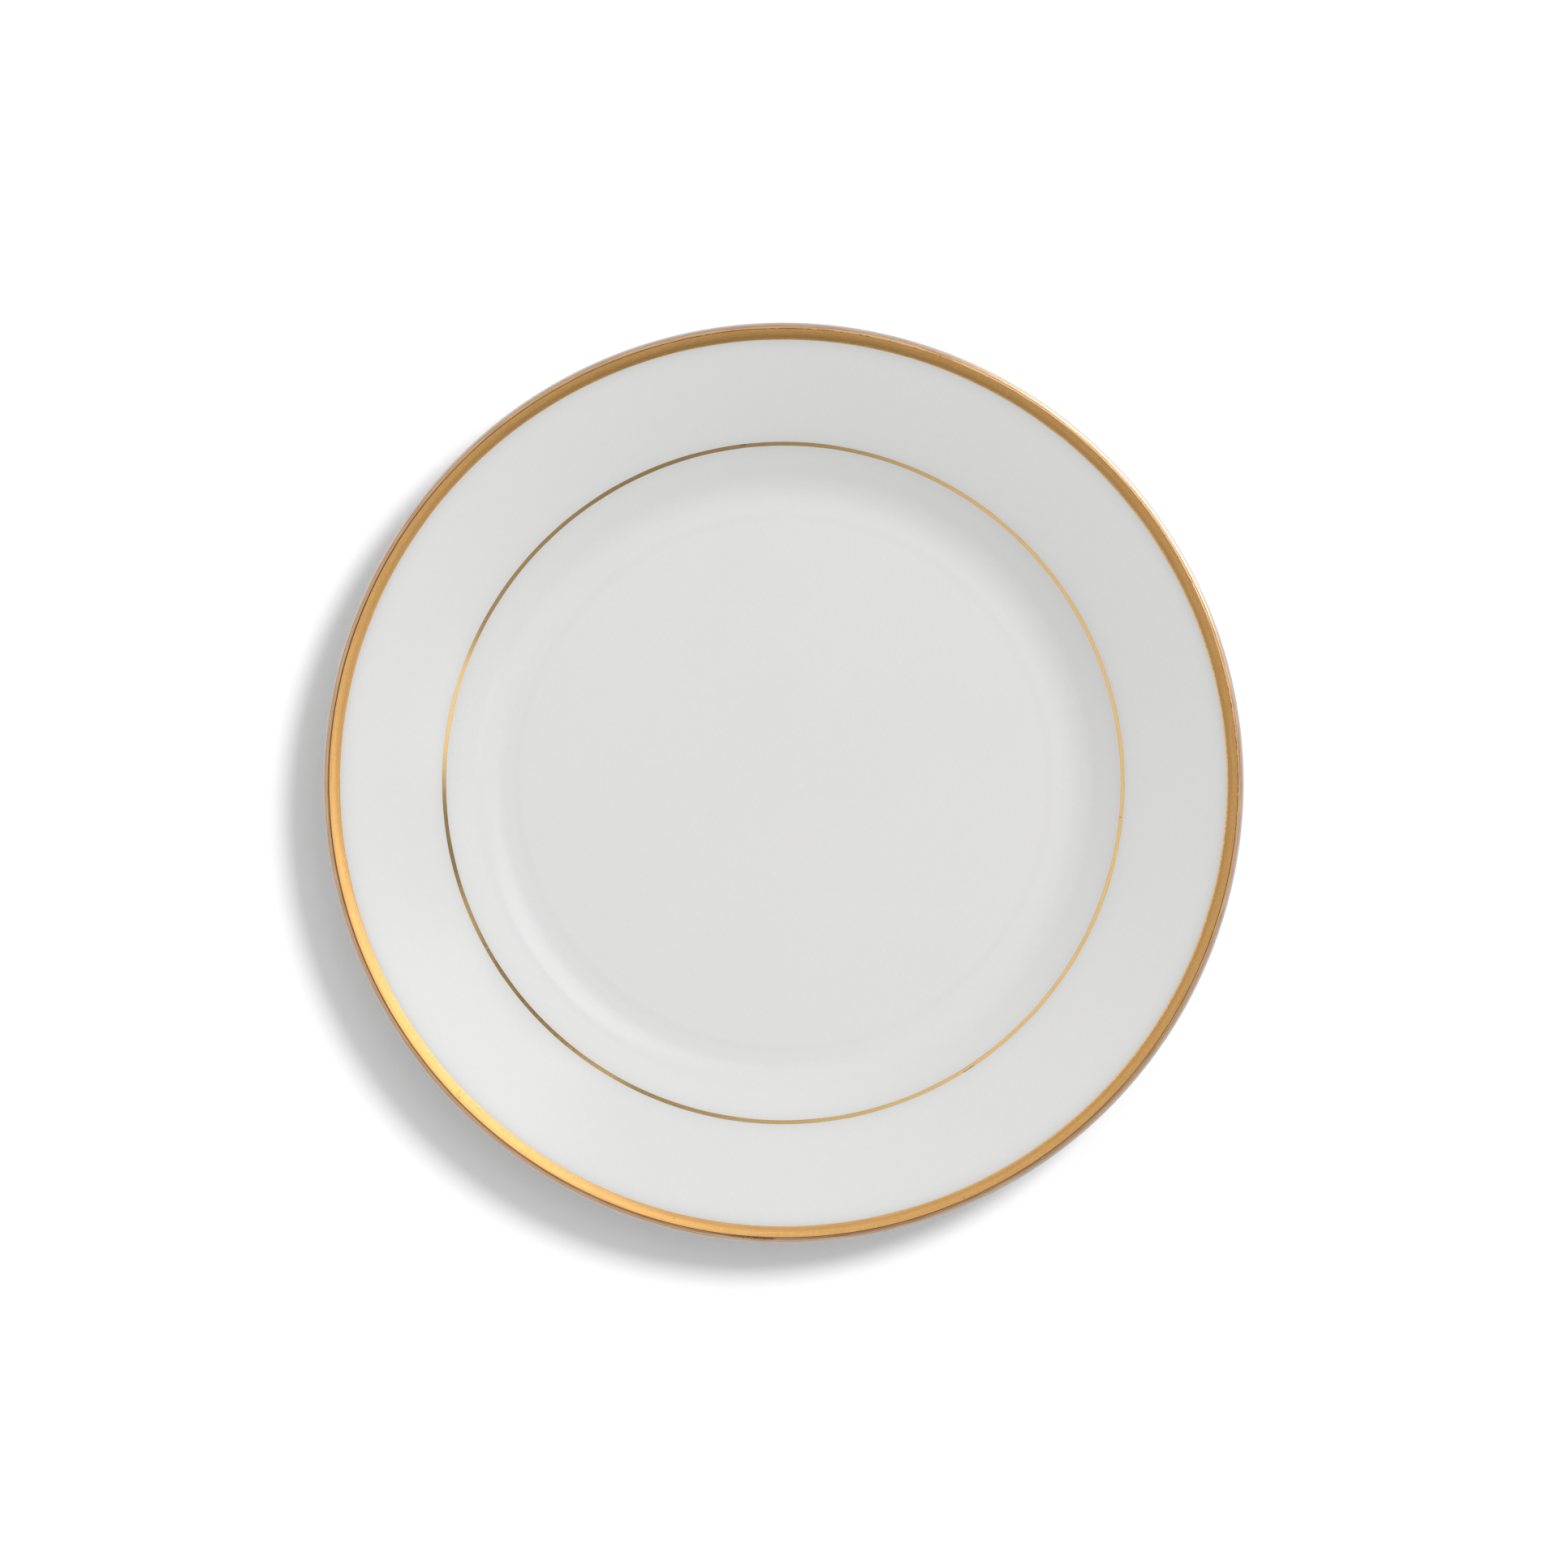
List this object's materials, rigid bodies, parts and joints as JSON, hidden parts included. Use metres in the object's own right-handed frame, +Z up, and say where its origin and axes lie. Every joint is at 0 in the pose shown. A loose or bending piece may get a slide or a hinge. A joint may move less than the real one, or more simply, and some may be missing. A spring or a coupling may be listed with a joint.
{
  "type": "dinner plate",
  "caption": "Round porcelain dinner plate with a coved well, a sloping rim and a bare foot ring, glazed, with gilding on the rim, the lip and the verge.",
  "frame": {"origin": "centre of the circle on which the foot ring stands, on the plate's axis and at table height", "axes": "+Z up the plate's axis, out of the well; X and Y lie in the table and are alike, because the plate is round"},
  "size_m": [0.27, 0.27, 0.0227],
  "materials": {
    "porcelain": "matte",
    "glaze": "gloss",
    "gold": "polished"
  },
  "bodies": {
    "root": {"porcelain_body": "porcelain", "glaze_coat": "glaze", "glaze_base": "glaze", "gold_rim_band": "gold", "gold_lip_edge": "gold", "gold_verge_line": "gold"}
  },
  "joints": []
}
